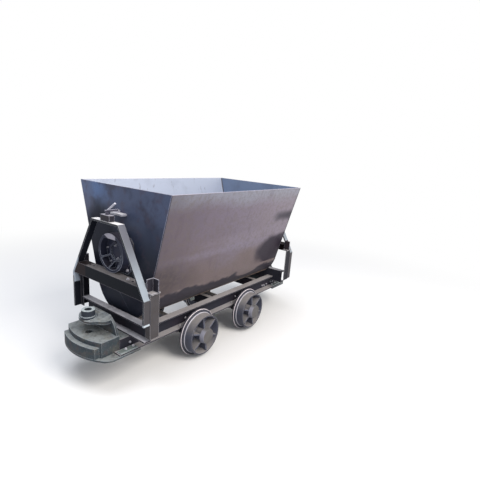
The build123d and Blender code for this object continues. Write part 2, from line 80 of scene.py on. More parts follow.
def maskFor(tree, layer, where, normal):
    # where the layer lies, from 0 to 1: a value, moved by waves, cut to its range,
    # narrowed by other masks and broken up by noise
    kind = layer["by"]
    if kind == "noise":
        seeded = addNode(tree, "ShaderNodeMapping", None,
                         {"Location": (layer.get("seed", 0), *noiseOrigin),
                          "Scale": layer.get("stretch", (1, 1, 1))},
                         {"Vector": where})
        value = addNode(tree, "ShaderNodeTexNoise", None,
                        {"Scale": millimetres(layer["size"]), "Detail": layer.get("detail", 3),
                         "Roughness": 0.55},
                        {"Vector": seeded.outputs[0]}).outputs["Fac"]
    elif kind == "facing":
        value = addNode(tree, "ShaderNodeVectorMath", {"operation": "DOT_PRODUCT"},
                        {1: layer["towards"]}, {0: normal}).outputs["Value"]
    elif kind == "place":
        value = addNode(tree, "ShaderNodeVectorMath", {"operation": "DOT_PRODUCT"},
                        {1: layer["towards"]}, {0: where}).outputs["Value"]
    elif kind == "outward":
        pulled = addNode(tree, "ShaderNodeVectorMath", {"operation": "MULTIPLY"},
                         {1: layer["towards"]}, {0: where})
        value = addNode(tree, "ShaderNodeVectorMath", {"operation": "DOT_PRODUCT"}, None,
                        {0: normal, 1: pulled.outputs[0]}).outputs["Value"]
    elif kind == "spot":
        shifted = addNode(tree, "ShaderNodeVectorMath", {"operation": "SUBTRACT"},
                          {1: layer["centre"]}, {0: where})
        scaled = addNode(tree, "ShaderNodeVectorMath", {"operation": "DIVIDE"},
                         {1: layer["reach"]}, {0: shifted.outputs[0]})
        value = addNode(tree, "ShaderNodeVectorMath", {"operation": "LENGTH"}, None,
                        {0: scaled.outputs[0]}).outputs["Value"]
    elif kind == "ring":    # metres from a wheel's own axis
        folded = addNode(tree, "ShaderNodeVectorMath", {"operation": "ABSOLUTE"}, None, {0: where})
        shifted = addNode(tree, "ShaderNodeVectorMath", {"operation": "SUBTRACT"},
                          {1: wheelMiddle}, {0: folded.outputs[0]})
        flattened = addNode(tree, "ShaderNodeVectorMath", {"operation": "MULTIPLY"},
                            {1: (1, 0, 1)}, {0: shifted.outputs[0]})
        value = addNode(tree, "ShaderNodeVectorMath", {"operation": "LENGTH"}, None,
                        {0: flattened.outputs[0]}).outputs["Value"]
    else:    # an edge, found from how far a rounded normal turns
        rounded = addNode(tree, "ShaderNodeBevel", {"samples": 6}, {"Radius": layer["size"] / 1000})
        flat = addNode(tree, "ShaderNodeNewGeometry")
        agree = addNode(tree, "ShaderNodeVectorMath", {"operation": "DOT_PRODUCT"}, None,
                        {0: rounded.outputs[0], 1: flat.outputs["Normal"]})
        value = addNode(tree, "ShaderNodeMath", {"operation": "SUBTRACT"}, {0: 1.0},
                        {1: agree.outputs["Value"]}).outputs[0]
    if "wander" in layer:    # mm of the waves and how far they shift the mask's edge
        size, shift, seed = layer["wander"]
        moved = addNode(tree, "ShaderNodeMapping", None, {"Location": (seed, 0, 0)}, {"Vector": where})
        wave = addNode(tree, "ShaderNodeTexNoise", None,
                       {"Scale": millimetres(size), "Detail": 3, "Roughness": 0.5},
                       {"Vector": moved.outputs[0]})
        centred = addNode(tree, "ShaderNodeMath", {"operation": "SUBTRACT"}, {1: 0.5},
                          {0: wave.outputs["Fac"]})
        value = addNode(tree, "ShaderNodeMath", {"operation": "MULTIPLY_ADD"}, {1: shift},
                        {0: centred.outputs[0], 2: value}).outputs[0]
    low, high = layer["range"]
    mask = addNode(tree, "ShaderNodeMapRange", {"interpolation_type": "SMOOTHSTEP"},
                   {"From Min": low, "From Max": high, "To Min": 0.0, "To Max": layer.get("amount", 1.0)},
                   {"Value": value}).outputs[0]
    for narrower in layer.get("also", []):
        mask = addNode(tree, "ShaderNodeMath", {"operation": "MULTIPLY"}, None,
                       {0: mask, 1: maskFor(tree, narrower, where, normal)}).outputs[0]
    if "broken" in layer:    # mm and how much the noise takes away
        size, depth = layer["broken"]
        patchy = addNode(tree, "ShaderNodeTexNoise", None,
                         {"Scale": millimetres(size), "Detail": 4, "Roughness": 0.6}, {"Vector": where})
        kept = addNode(tree, "ShaderNodeMapRange", None,
                       {"From Min": 0.35, "From Max": 0.62, "To Min": 1.0 - depth, "To Max": 1.0},
                       {"Value": patchy.outputs["Fac"]})
        mask = addNode(tree, "ShaderNodeMath", {"operation": "MULTIPLY"}, None,
                       {0: mask, 1: kept.outputs[0]}).outputs[0]
    return mask


def steelFinish(name, changes):
    look = {**steelDefaults, **changes}
    material = bpy.data.materials.new(name)
    material.use_nodes = True
    tree = material.node_tree
    tree.nodes.clear()
    coordinates = addNode(tree, "ShaderNodeTexCoord")
    where = coordinates.outputs["Object"]
    normal = coordinates.outputs["Normal"]
    colour, rough = None, None
    for layer in look["layers"]:
        mask = maskFor(tree, layer, where, normal)
        under = {6: toLinear(look["base"])} if colour is None else {}
        mixed = addNode(tree, "ShaderNodeMix", {"data_type": "RGBA"},
                        {**under, 7: toLinear(layer["colour"])}, {0: mask})
        if colour is not None:
            tree.links.new(colour, mixed.inputs[6])
        colour = mixed.outputs[2]
        if "rough" in layer:
            start = {2: look["rough"]} if rough is None else {}
            turned = addNode(tree, "ShaderNodeMix", {"data_type": "FLOAT"},
                             {**start, 3: layer["rough"]}, {0: mask})
            if rough is not None:
                tree.links.new(rough, turned.inputs[2])
            rough = turned.outputs[0]
    # bumps: rounded edges, then waves, then grain
    rounded = addNode(tree, "ShaderNodeBevel", {"samples": 4}, {"Radius": look["round"] / 1000})
    bump = rounded.outputs[0]
    for kind, depth in bumpDepths.items():
        size, strength = look[kind]
        if strength > 0:
            height = addNode(tree, "ShaderNodeTexNoise", None,
                             {"Scale": millimetres(size), "Detail": 2, "Roughness": 0.5}, {"Vector": where})
            bump = addNode(tree, "ShaderNodeBump", None, {"Strength": strength, "Distance": depth},
                           {"Height": height.outputs["Fac"], "Normal": bump}).outputs[0]
    shader = addNode(tree, "ShaderNodeBsdfPrincipled", None,
                     {"Metallic": look["metallic"], "Roughness": look["rough"],
                      "Specular IOR Level": look["specular"],
                      "Coat Weight": look["coat"], "Coat Roughness": 0.2},
                     {"Base Color": colour, "Normal": bump})
    if rough is not None:
        tree.links.new(rough, shader.inputs["Roughness"])
    addNode(tree, "ShaderNodeOutputMaterial", None, None, {"Surface": shader.outputs[0]})
    return material


up = (0, 0, 1)
down = (0, 0, -1)
across = (0, 1, 0)
along = (1, 0, 0)
nearSide = {"by": "place", "towards": (0, -1, 0), "range": (0.1, 0.2)}    # the side towards -Y


def atEnd(way):
    return {"by": "place", "towards": (way, 0, 0), "range": (0.5, 0.6)}    # one end of the cart


# Hot rolled plate, outside of the hopper's sides: oil over the same mill scale as the ends; the brown mauve
# colour is a painted reflection of the ground
sidePlateSteel = steelFinish("oiledPlateSidesPaintedReflection", {
    "base": "#7c7281", "metallic": 0.35, "rough": 0.42, "specular": 0.3, "waves": (420, 0.22),
    "grain": (3, 0.05), "layers": [
        {"by": "noise", "size": 520, "range": (0.35, 0.7), "colour": "#796c71", "amount": 0.8, "detail": 2},
        # painted reflection: lighter towards the rear, lighter in bands high up and at mid height, browner
        # lower down
        {"by": "place", "towards": along, "range": (-0.5, 0.75), "colour": "#968c98", "amount": 0.8},
        {"by": "place", "towards": up, "range": (1.08, 1.2), "colour": "#9b9eab", "amount": 0.75,
         "wander": (300, 0.1, 1)},
        {"by": "spot", "centre": (0.25, 0, 0.84), "reach": (0.9, 9, 0.085), "range": (1.0, 0.2),
         "colour": "#9f95a4", "amount": 0.45, "broken": (500, 0.6)},
        {"by": "place", "towards": (-0.08, 0, 1), "range": (0.80, 0.58), "colour": "#7d6e6c", "amount": 0.85,
         "wander": (260, 0.3, 4)},
        {"by": "spot", "centre": (0.0, 0, 0.78), "reach": (0.8, 9, 0.045), "range": (1.0, 0.2),
         "colour": "#948b9c", "amount": 0.5, "wander": (300, 1.6, 2)},
        # painted dark reflection: darker towards one end corner of each side, and in patches low by the ends
        *[{"by": "place", "towards": (way, 0, -0.12), "range": (0.22, 0.66), "colour": "#544c50",
           "amount": 0.5, "wander": (240, 0.3, 6),
           "also": [{"by": "place", "towards": (0, way, 0), "range": (0.1, 0.2)}]} for way in ends],
        *[{"by": "spot", "centre": (way * 0.70, way * 0.3, 0.62), "reach": (0.46, 0.2, 0.19),
           "range": (1.0, 0.3), "colour": "#4a4144", "amount": 0.6, "wander": (160, 0.8, 8)} for way in ends],
        {"by": "noise", "size": 28, "seed": 11, "range": (0.4, 0.7), "colour": "#746a62", "amount": 0.35},
        # two dark patches by the rear end, on the near side only
        {"by": "spot", "centre": (0.70, 0, 0.66), "reach": (0.33, 9, 0.155), "range": (1.15, 0.8),
         "colour": "#332c38", "amount": 0.95, "wander": (260, 0.9, 3), "also": [nearSide]},
        {"by": "spot", "centre": (0.69, 0, 0.975), "reach": (0.27, 9, 0.065), "range": (1.0, 0.25),
         "colour": "#3a3742", "amount": 0.95, "wander": (200, 0.9, 5), "also": [nearSide]},
        {"by": "noise", "size": 60, "stretch": (1, 1, 0.25), "seed": 9, "range": (0.56, 0.72),
         "colour": "#5a4f5d", "amount": 0.22},
        {"by": "noise", "size": 7, "seed": 2, "range": (0.45, 0.75), "colour": "#524a54", "amount": 0.28},
        {"by": "facing", "towards": up, "range": (0.0, 0.15), "colour": "#b1b8c8", "rough": 0.5},
        # scuffs inside
        {"by": "facing", "towards": up, "range": (0.0, 0.15), "colour": "#8f94a4", "amount": 0.5,
         "also": [{"by": "noise", "size": 190, "seed": 21, "range": (0.45, 0.75)}]},
        {"by": "facing", "towards": up, "range": (0.0, 0.15), "colour": "#77757c", "amount": 0.55,
         "also": [{"by": "noise", "size": 26, "stretch": (1, 1, 0.3), "seed": 22, "range": (0.6, 0.72)}]},
        # painted highlight on the rim's top face; below, bright upper edges, partly rubbed wear and partly
        # painted highlight
        {"by": "facing", "towards": up, "range": (0.9, 0.97), "colour": "#dcd7ea"},
        {"by": "edge", "size": 6, "range": (0.02, 0.2), "colour": "#c4bccb", "amount": 0.85,
         "broken": (60, 0.35), "rough": 0.3,
         "also": [{"by": "place", "towards": up, "range": (0.556, 0.57)}]},
    ],
})

# Hot rolled plate of the ends: blue black mill scale, with a painted highlight that makes it bluer and
# lighter towards the rim and the upper corner
endPlateSteel = steelFinish("blueScalePlatePaintedHighlight", {
    "base": "#252a37", "metallic": 0.2, "rough": 0.4, "specular": 0.15, "waves": (380, 0.2),
    "grain": (3, 0.06), "layers": [
        # painted highlight: lighter and bluer high up and at the upper corner
        {"by": "place", "towards": up, "range": (0.74, 1.2), "colour": "#505a75", "amount": 0.95,
         "wander": (260, 0.25, 3)},
        *[{"by": "spot", "centre": (way * 0.75, -way * 0.42, 1.17), "reach": (0.3, 0.42, 0.16),
           "range": (1.0, 0.1), "colour": "#6583b4", "amount": 0.9, "wander": (320, 0.6, 1)} for way in ends],
        {"by": "noise", "size": 150, "range": (0.5, 0.7), "colour": "#3b3947", "amount": 0.7},
        {"by": "place", "towards": up, "range": (0.52, 0.42), "colour": "#343845", "amount": 0.8},
        # painted highlight: a paler patch by the upper corner
        *[{"by": "spot", "centre": (way * 0.75, -way * 0.40, 1.15), "reach": (0.3, 0.16, 0.3),
           "range": (1.0, 0.2), "colour": "#5c6075", "amount": 0.7} for way in ends],
        *[{"by": "spot", "centre": (way * 0.75, -way * 0.12, 1.0), "reach": (0.3, 0.16, 0.12),
           "range": (1.0, 0.2), "colour": "#272b38", "amount": 0.6, "wander": (120, 0.8, 2)} for way in ends],
        {"by": "noise", "size": 80, "seed": 31, "range": (0.52, 0.68), "colour": "#4c3f4a", "amount": 0.35},
        {"by": "noise", "size": 210, "seed": 32, "range": (0.55, 0.72), "colour": "#1d212e", "amount": 0.55},
        # painted shade, nearly black, behind the end frame's leg
        *[{"by": "spot", "centre": (way * 0.75, -way * 0.24, 0.84), "reach": (0.3, 0.22, 0.26),
           "range": (1.0, 0.6), "colour": "#0c1222", "amount": 0.92, "rough": 0.55,
           "wander": (200, 0.4, 2)} for way in ends],
        # a thin scratch down each end
        *[{"by": "place", "towards": (0, way * 1.02, 1), "range": (0.493, 0.4945), "colour": "#7d8496",
           "amount": 0.7, "broken": (40, 0.6),
           "also": [{"by": "place", "towards": (0, way * 1.02, 1), "range": (0.498, 0.4965)},
                    {"by": "place", "towards": up, "range": (0.545, 0.53)}, atEnd(way)]} for way in ends],
        {"by": "noise", "size": 8, "seed": 5, "range": (0.5, 0.78), "colour": "#363949", "amount": 0.3},
        {"by": "outward", "towards": along, "range": (-0.1, -0.4), "colour": "#76849c", "rough": 0.5},
        {"by": "outward", "towards": along, "range": (-0.1, -0.4), "colour": "#5f6676", "amount": 0.55,
         "also": [{"by": "noise", "size": 170, "seed": 21, "range": (0.45, 0.75)}]},
        # bright edges: rubbed wear, partly painted highlight
        {"by": "edge", "size": 6, "range": (0.02, 0.2), "colour": "#a9a6b8", "amount": 0.85,
         "broken": (60, 0.35), "rough": 0.3},
    ],
})

# Rolled trough plate: the sides' painted reflection above, painted shade making it dark below, scoured pale
# inside
troughSteel = steelFinish("rolledTroughPlate", {
    "base": "#7a6d6e", "rough": 0.45, "specular": 0.2, "waves": (300, 0.1), "grain": (3, 0.06),
    "layers": [
        {"by": "noise", "size": 240, "range": (0.4, 0.7), "colour": "#6f6364", "amount": 0.7},
        {"by": "noise", "size": 28, "seed": 11, "range": (0.4, 0.7), "colour": "#746a62", "amount": 0.35},
        {"by": "noise", "size": 9, "seed": 3, "range": (0.5, 0.75), "colour": "#4d464b", "amount": 0.3},
        # painted shade: dark towards the bottom except over the rear wheel, darker still lower down
        {"by": "place", "towards": (0.03, 0, 1), "range": (0.530, 0.508), "colour": "#302e38", "amount": 0.92,
         "wander": (210, 0.2, 2),
         "also": [{"by": "spot", "centre": (0.31, 0, 0.515), "reach": (0.17, 9, 0.05),
                   "range": (0.75, 1.0)}]},
        {"by": "place", "towards": up, "range": (0.44, 0.40), "colour": "#322d32"},
        {"by": "place", "towards": (-0.015, 0, 1), "range": (0.420, 0.412), "colour": "#9a8677",
         "broken": (180, 0.5)},
        {"by": "facing", "towards": up, "range": (0.0, 0.15), "colour": "#aab1bf", "rough": 0.55},
        {"by": "facing", "towards": up, "range": (0.0, 0.15), "colour": "#858890", "amount": 0.6,
         "also": [{"by": "noise", "size": 150, "seed": 23, "range": (0.42, 0.7)}]},
        {"by": "facing", "towards": up, "range": (0.0, 0.15), "colour": "#6f6a6c", "amount": 0.6,
         "also": [{"by": "noise", "size": 24, "stretch": (0.3, 1, 1), "seed": 24, "range": (0.6, 0.72)}]},
    ],
})

# Rolled channel and angle of the frame: dark scale on the webs; what faces up is pale with ground dust and
# painted light, lighter where the hopper shades it low down
channelLook = {
    "base": "#30313a", "rough": 0.6, "specular": 0.12, "grain": (5, 0.12),
    "layers": [
        {"by": "noise", "size": 120, "range": (0.45, 0.7), "colour": "#38323c", "amount": 0.7},
        {"by": "noise", "size": 10, "seed": 7, "range": (0.55, 0.75), "colour": "#41393a", "amount": 0.35},
        {"by": "facing", "towards": up, "range": (0.45, 0.9), "colour": "#7d7979", "rough": 0.8,
         "broken": (90, 0.3)},
        # painted light: up faces low under the hopper made lighter
        {"by": "facing", "towards": up, "range": (0.45, 0.9), "colour": "#aaa5a5", "rough": 0.8,
         "broken": (90, 0.3), "also": [{"by": "place", "towards": up, "range": (0.55, 0.45)}]},
        # bright edges: rubbed wear, partly painted highlight
        {"by": "edge", "size": 7, "range": (0.03, 0.22), "colour": "#9a969c", "amount": 0.85,
         "broken": (60, 0.4)},
    ],
}
channelSteel = steelFinish("channelDustAndPaintedLight", channelLook)
# the headstocks: the channel with a painted highlight that makes what faces up near white
headstockPaintedLightSteel = steelFinish("channelEndsPaintedLight", {**channelLook, "layers": [
    *channelLook["layers"][:2],
    {"by": "facing", "towards": up, "range": (0.45, 0.9), "colour": "#d2cfd3", "rough": 0.8,
     "broken": (90, 0.3)},
    *channelLook["layers"][-1:]]})
crossbarSteel = steelFinish("rolledAngleBlack", {**channelLook, "base": "#14181f", "layers": [
    {"by": "noise", "size": 120, "range": (0.45, 0.7), "colour": "#1b1c22", "amount": 0.7},
    {"by": "facing", "towards": up, "range": (0.45, 0.9), "colour": "#7c7776", "rough": 0.8,
     "broken": (90, 0.3)},
    # painted shadow of the far leg on the crossbar's far end
    *[{"by": "place", "towards": (0, -way, 0), "range": (0.215, 0.235), "colour": "#2b2426",
       "also": [atEnd(way)]} for way in ends],
    *channelLook["layers"][-1:]]})

# Angles of the corner posts: rolled steel with a thin brown bloom, painted shade on the inward faces and the
# far post, painted highlight on the caps' edges
postSteel = steelFinish("rolledAngleBrown", {
    "base": "#504d50", "rough": 0.5, "specular": 0.15, "grain": (4, 0.1),
    "layers": [
        {"by": "noise", "size": 140, "range": (0.4, 0.7), "colour": "#484444", "amount": 0.7},
        {"by": "noise", "size": 9, "seed": 1, "range": (0.5, 0.75), "colour": "#60524b", "amount": 0.35},
        # painted shade: the inward faces, and the far post at each end
        {"by": "outward", "towards": across, "range": (-0.1, -0.3), "colour": "#27272f"},
        *[{"by": "place", "towards": (0, -way, 0), "range": (0.28, 0.3), "colour": "#1f2028", "amount": 0.9,
           "also": [atEnd(way)]} for way in ends],
        {"by": "facing", "towards": up, "range": (0.45, 0.9), "colour": "#a6a1a0", "rough": 0.7,
         "broken": (40, 0.4)},
        # painted highlight: near white edges on the caps
        {"by": "edge", "size": 8, "range": (0.03, 0.2), "colour": "#f0eef2", "broken": (20, 0.5),
         "also": [{"by": "place", "towards": up, "range": (0.622, 0.628)}]},
        # bright edges: rubbed wear, partly painted highlight
        {"by": "edge", "size": 7, "range": (0.03, 0.22), "colour": "#b9b7bd", "amount": 0.85,
         "broken": (45, 0.35)},
    ],
})

# Small angles and blocks: the same steel, dark and oily, with bright edges that are sheared and rubbed,
# partly painted highlight
stopSteel = steelFinish("shearedAngleDark", {
    "base": "#2f2e36", "rough": 0.5, "specular": 0.15, "grain": (4, 0.1),
    "layers": [
        {"by": "noise", "size": 60, "range": (0.4, 0.7), "colour": "#3a3132", "amount": 0.7},
        {"by": "facing", "towards": up, "range": (0.45, 0.9), "colour": "#aeaab0", "rough": 0.7,
         "broken": (40, 0.4)},
        # bright edges: sheared and rubbed, partly painted highlight
        {"by": "edge", "size": 7, "range": (0.03, 0.22), "colour": "#b9b7c4", "amount": 0.8,
         "broken": (45, 0.35)},
    ],
})

# Forged straps: dark green grey, with edges rubbed bright, partly painted highlight
strapSteel = steelFinish("forgedStrap", {
    "base": "#68716f", "rough": 0.55, "specular": 0.15, "grain": (5, 0.15),
    "layers": [
        {"by": "noise", "size": 30, "range": (0.4, 0.7), "colour": "#7b7d78", "amount": 0.7},
        # bright edges: rubbed wear, partly painted highlight
        {"by": "edge", "size": 8, "range": (0.03, 0.22), "colour": "#c2cbd0", "amount": 0.9,
         "broken": (45, 0.3)},
    ],
})

# Flat bar of the end frames: dark scale, with painted reflection by the way a face points: pale on the
# sloping faces, grey on the feet's outside, near white on the top bar
flatBarSteel = steelFinish("flatBarPaintedReflection", {
    "base": "#1f222b", "rough": 0.42, "specular": 0.2, "grain": (4, 0.08),
    "layers": [
        {"by": "noise", "size": 12, "range": (0.5, 0.75), "colour": "#303038", "amount": 0.4},
        # painted reflection: grey facing outwards, pale facing up and paler lower down, near white on top
        {"by": "outward", "towards": across, "range": (0.1, 0.2), "colour": "#4b484b"},
        {"by": "facing", "towards": up, "range": (0.2, 0.45), "colour": "#6c6d75", "rough": 0.42},
        {"by": "facing", "towards": up, "range": (0.2, 0.45), "colour": "#98a1a9",
         "also": [{"by": "place", "towards": up, "range": (0.92, 0.66)}], "broken": (120, 0.15)},
        {"by": "facing", "towards": up, "range": (0.7, 0.95), "colour": "#f2eeec", "rough": 0.45},
        # painted reflection: a pale patch low on the inner face of the front end's far leg
        {"by": "facing", "towards": (0, -1, 0), "range": (0.5, 0.8), "colour": "#cbd6e4",
         "also": [{"by": "place", "towards": (-1, 0, -0.276), "range": (0.672, 0.690)},
                  {"by": "place", "towards": up, "range": (0.526, 0.532)},
                  {"by": "place", "towards": (-1, 1, 0), "range": (1.1, 1.12)}]},
        *[{"by": "place", "towards": (way, way, 0), "range": (1.1, 1.12), "colour": "#c3ccd4",
           "also": [{"by": "place", "towards": down, "range": (-0.457, -0.453)}]} for way in ends],
        # painted reflection: a pale patch on the end face of one leg at each end
        *[{"by": "facing", "towards": (way, 0, 0), "range": (0.5, 0.8), "colour": "#b9c4d0", "amount": 0.9,
           "also": [{"by": "place", "towards": (0, -way, 0.3), "range": (0.50, 0.515)},
                    {"by": "place", "towards": up, "range": (0.565, 0.58)},
                    {"by": "place", "towards": up, "range": (0.73, 0.70)}]} for way in ends],
        {"by": "facing", "towards": down, "range": (0.8, 0.95), "colour": "#83888e"},
        # bright edges: rubbed wear, partly painted highlight
        {"by": "edge", "size": 5, "range": (0.03, 0.22), "colour": "#c9ccd2", "amount": 0.7,
         "broken": (50, 0.4)},
    ],
})

# Sand cast steel of the wheels: blue grey skin, brown dust with a painted highlight on the upper faces,
# painted highlight lines and painted shade round the flange
wheelSteel = steelFinish("sandCastSteelWheel", {
    "base": "#585c6c", "rough": 0.5, "specular": 0.25, "grain": (6, 0.22), "round": 4,
    "layers": [
        {"by": "noise", "size": 70, "range": (0.4, 0.7), "colour": "#51535f", "amount": 0.8},
        {"by": "noise", "size": 12, "seed": 6, "range": (0.5, 0.75), "colour": "#695e5b", "amount": 0.4},
        # brown dust, partly a painted highlight, on what faces up
        {"by": "facing", "towards": up, "range": (0.1, 0.95), "colour": "#96918e", "amount": 0.9,
         "rough": 0.65, "broken": (60, 0.25)},
        {"by": "outward", "towards": across, "range": (0.22, 0.28), "colour": "#3f404a", "amount": 0.9,
         "also": [{"by": "ring", "range": (0.118, 0.128)}]},
        # bright edges: rubbed wear, partly painted highlight
        {"by": "edge", "size": 7, "range": (0.04, 0.26), "colour": "#b9b6be", "amount": 0.45,
         "broken": (50, 0.6), "rough": 0.35},
        # painted highlight lines at the flange's root and tip, and painted shade on the flange round them
        {"by": "ring", "range": (0.153, 0.155), "colour": "#3d3e48", "rough": 0.5},
        {"by": "ring", "range": (0.1505, 0.1515), "colour": "#d5d2da", "amount": 0.95, "rough": 0.3,
         "broken": (90, 0.25), "also": [{"by": "ring", "range": (0.1550, 0.1540)}]},
        {"by": "ring", "range": (0.1700, 0.1712), "colour": "#efe5e8", "amount": 0.95, "rough": 0.3,
         "broken": (120, 0.25), "also": [{"by": "ring", "range": (0.1748, 0.1738)}]},
    ],
})

# Sand cast steel of the hub caps: the same skin, brown on the faces, with a painted highlight on the side
# towards the front
capSteel = steelFinish("sandCastSteelCap", {
    "base": "#666464", "rough": 0.5, "specular": 0.25, "grain": (5, 0.18), "round": 4,
    "layers": [
        {"by": "noise", "size": 40, "range": (0.4, 0.7), "colour": "#605c5a", "amount": 0.8},
        {"by": "noise", "size": 9, "seed": 4, "range": (0.55, 0.75), "colour": "#726156", "amount": 0.4},
        # painted highlight on the side facing the front
        {"by": "facing", "towards": along, "range": (-0.2, -0.8), "colour": "#91919e"},
        # bright edges: rubbed wear, partly painted highlight
        {"by": "edge", "size": 8, "range": (0.04, 0.28), "colour": "#b9b8c2", "amount": 0.7,
         "broken": (40, 0.35)},
    ],
})

# Sand cast steel of the buffers: darker, greenish on the sides, tan dust on top, painted shade for creases in
# the hood's roof, painted highlights on the collar
bufferSteel = steelFinish("sandCastSteelBuffer", {
    "base": "#454e53", "rough": 0.6, "specular": 0.15, "grain": (7, 0.25), "round": 4,
    "layers": [
        {"by": "noise", "size": 90, "range": (0.4, 0.7), "colour": "#323a42", "amount": 0.8},
        {"by": "noise", "size": 38, "seed": 8, "range": (0.5, 0.64), "colour": "#574d4a", "amount": 0.5},
        {"by": "facing", "towards": up, "range": (0.35, 0.85), "colour": "#888c8b", "rough": 0.75,
         "broken": (80, 0.25)},
        # painted shade: dark streaks for creases in the hood's roof
        *[{"by": "noise", "size": 34, "seed": 14, "stretch": (0.5, 2.2, 1), "range": (0.54, 0.62),
           "colour": "#4b5058", "amount": 0.75,
           "also": [{"by": "spot", "centre": (way * 0.90, 0.01, 0.43), "reach": (0.11, 0.11, 0.05),
                     "range": (1.0, 0.8)}]} for way in ends],
        {"by": "noise", "size": 70, "seed": 15, "range": (0.48, 0.66), "colour": "#6c675d", "amount": 0.45},
        {"by": "noise", "size": 24, "seed": 16, "range": (0.52, 0.66), "colour": "#434a4e", "amount": 0.4},
        {"by": "noise", "size": 26, "seed": 12, "range": (0.52, 0.7), "colour": "#4f4a53", "amount": 0.5},
        {"by": "noise", "size": 9, "seed": 3, "range": (0.55, 0.75), "colour": "#8d9295", "amount": 0.3},
        *[{"by": "spot", "centre": (way * 0.993, 0, 0.455), "reach": (0.056, 0.056, 0.04),
           "range": (1.15, 1.0), "colour": "#30353f", "amount": 0.9} for way in ends],
        # painted highlight on the collar's top face
        {"by": "facing", "towards": up, "range": (0.6, 0.9), "colour": "#aeb5b6", "rough": 0.6,
         "broken": (20, 0.3), "also": [{"by": "place", "towards": up, "range": (0.472, 0.476)}]},
        # bright edges: rubbed wear, partly painted highlight
        {"by": "edge", "size": 9, "range": (0.03, 0.25), "colour": "#a7b0b6", "amount": 0.85,
         "broken": (70, 0.4)},
        # painted highlight: bright edges round the collar
        *[{"by": "edge", "size": 5, "range": (0.03, 0.2), "colour": "#d5dde0", "amount": 0.9,
           "broken": (30, 0.3),
           "also": [{"by": "spot", "centre": (way * 0.993, 0, 0.45), "reach": (0.075, 0.075, 0.075),
                     "range": (1.1, 1.0)}]} for way in ends],
    ],
})

# Rocker casting and pad: oily black, picked out by bright edges, partly rubbed and partly painted highlight
rockerSteel = steelFinish("sandCastSteelRocker", {
    "base": "#323546", "rough": 0.5, "specular": 0.15, "grain": (6, 0.2), "round": 2.5,
    "layers": [
        {"by": "noise", "size": 60, "range": (0.4, 0.7), "colour": "#3b3a47", "amount": 0.7},
        {"by": "facing", "towards": up, "range": (0.3, 0.9), "colour": "#35323a", "amount": 0.8,
         "rough": 0.6},
        # the segment over the hub is pale, but for one end
        *[{"by": "place", "towards": (0, way * 0.45, 1), "range": (0.882, 0.888), "colour": "#c2bec9",
           "broken": (40, 0.25),
           "also": [{"by": "outward", "towards": along, "range": (0.6, 0.75)},
                    {"by": "place", "towards": (way, 0, 0), "range": (0.80, 0.82)},
                    {"by": "place", "towards": (0, -way, 0), "range": (-0.056, -0.044)}]} for way in ends],
        # bright edges: rubbed wear, partly painted highlight
        {"by": "edge", "size": 6, "range": (0.03, 0.22), "colour": "#8d93a1", "amount": 0.5,
         "broken": (60, 0.5)},
        # painted highlight on the lower half's edges, over rubbed wear
        {"by": "edge", "size": 7, "range": (0.03, 0.22), "colour": "#c2c8d4", "amount": 0.95,
         "broken": (60, 0.25), "rough": 0.35,
         "also": [{"by": "place", "towards": up, "range": (0.84, 0.78)}]},
    ],
})

# Bare bright steel of the latch keepers, bolts and nuts, with a painted highlight on top and painted shade
# below
brightSteel = steelFinish("turnedBrightSteel", {
    "base": "#b3b3bd", "metallic": 0.2, "rough": 0.4, "specular": 0.3, "grain": (2, 0.1), "round": 0.8,
    "layers": [
        {"by": "noise", "size": 18, "range": (0.45, 0.7), "colour": "#86838a", "amount": 0.6, "rough": 0.5},
        {"by": "noise", "size": 5, "seed": 3, "range": (0.6, 0.75), "colour": "#66564c", "amount": 0.5,
         "rough": 0.7},
        # painted highlight on what faces up, painted shade on what faces down
        {"by": "facing", "towards": up, "range": (0.5, 0.9), "colour": "#ece8e8", "amount": 0.9},
        {"by": "facing", "towards": down, "range": (0.5, 0.9), "colour": "#25262c", "amount": 0.9},
    ],
})

# Latch lever: dull rod below, a handle rubbed bright
leverSteel = steelFinish("drawnRodSteel", {
    "base": "#565463", "metallic": 0.3, "rough": 0.45, "specular": 0.3, "grain": (2, 0.1), "round": 0.8,
    "layers": [
        {"by": "noise", "size": 14, "range": (0.45, 0.7), "colour": "#3f3b42", "amount": 0.6},
        {"by": "place", "towards": up, "range": (1.074, 1.08), "colour": "#c9c8d4", "rough": 0.3},
    ],
})

# Weld metal: grey, rippled, with a brown heat tint
weldSteel = steelFinish("weldMetal", {
    "base": "#4a494f", "rough": 0.45, "specular": 0.3, "grain": (2, 0.2), "round": 0.6,
    "layers": [
        {"by": "noise", "size": 25, "range": (0.45, 0.7), "colour": "#3b3536", "amount": 0.7},
        {"by": "noise", "size": 6, "seed": 2, "range": (0.55, 0.75), "colour": "#6c6a70", "amount": 0.5},
    ],
})

nodeFinishes = {
    "side_plate": sidePlateSteel, "end_plate": endPlateSteel, "trough_plate": troughSteel,
    "sole_bar": channelSteel, "cross_members": channelSteel, "headstock": headstockPaintedLightSteel,
    "crossbar": crossbarSteel, "stop_angles": stopSteel, "corner_posts": postSteel,
    "pedestals": channelSteel, "buffer_straps": strapSteel, "buffer_foot": bufferSteel,
    "buffer": bufferSteel, "end_frame": flatBarSteel, "rocker_pad": rockerSteel,
    "rocker": rockerSteel, "latch_keeper": brightSteel, "latch_lever": leverSteel,
    "latch_block": stopSteel, "axle": wheelSteel, "hub_caps": capSteel, "wheel": wheelSteel,
}
for nodeName, node in nodes.items():
    start = max((s for s in nodeFinishes if nodeName.startswith(s)), key=len)
    node.data.materials.clear()
    node.data.materials.append(nodeFinishes[start])
print("finishes on", len(nodes), "nodes")


# Making and joining pieces

mm = 0.001


def joinShape(shape, part):
    carrier = bpy.data.meshes.new("carrier")
    part.to_mesh(carrier)
    part.free()
    shape.from_mesh(carrier)
    bpy.data.meshes.remove(carrier)


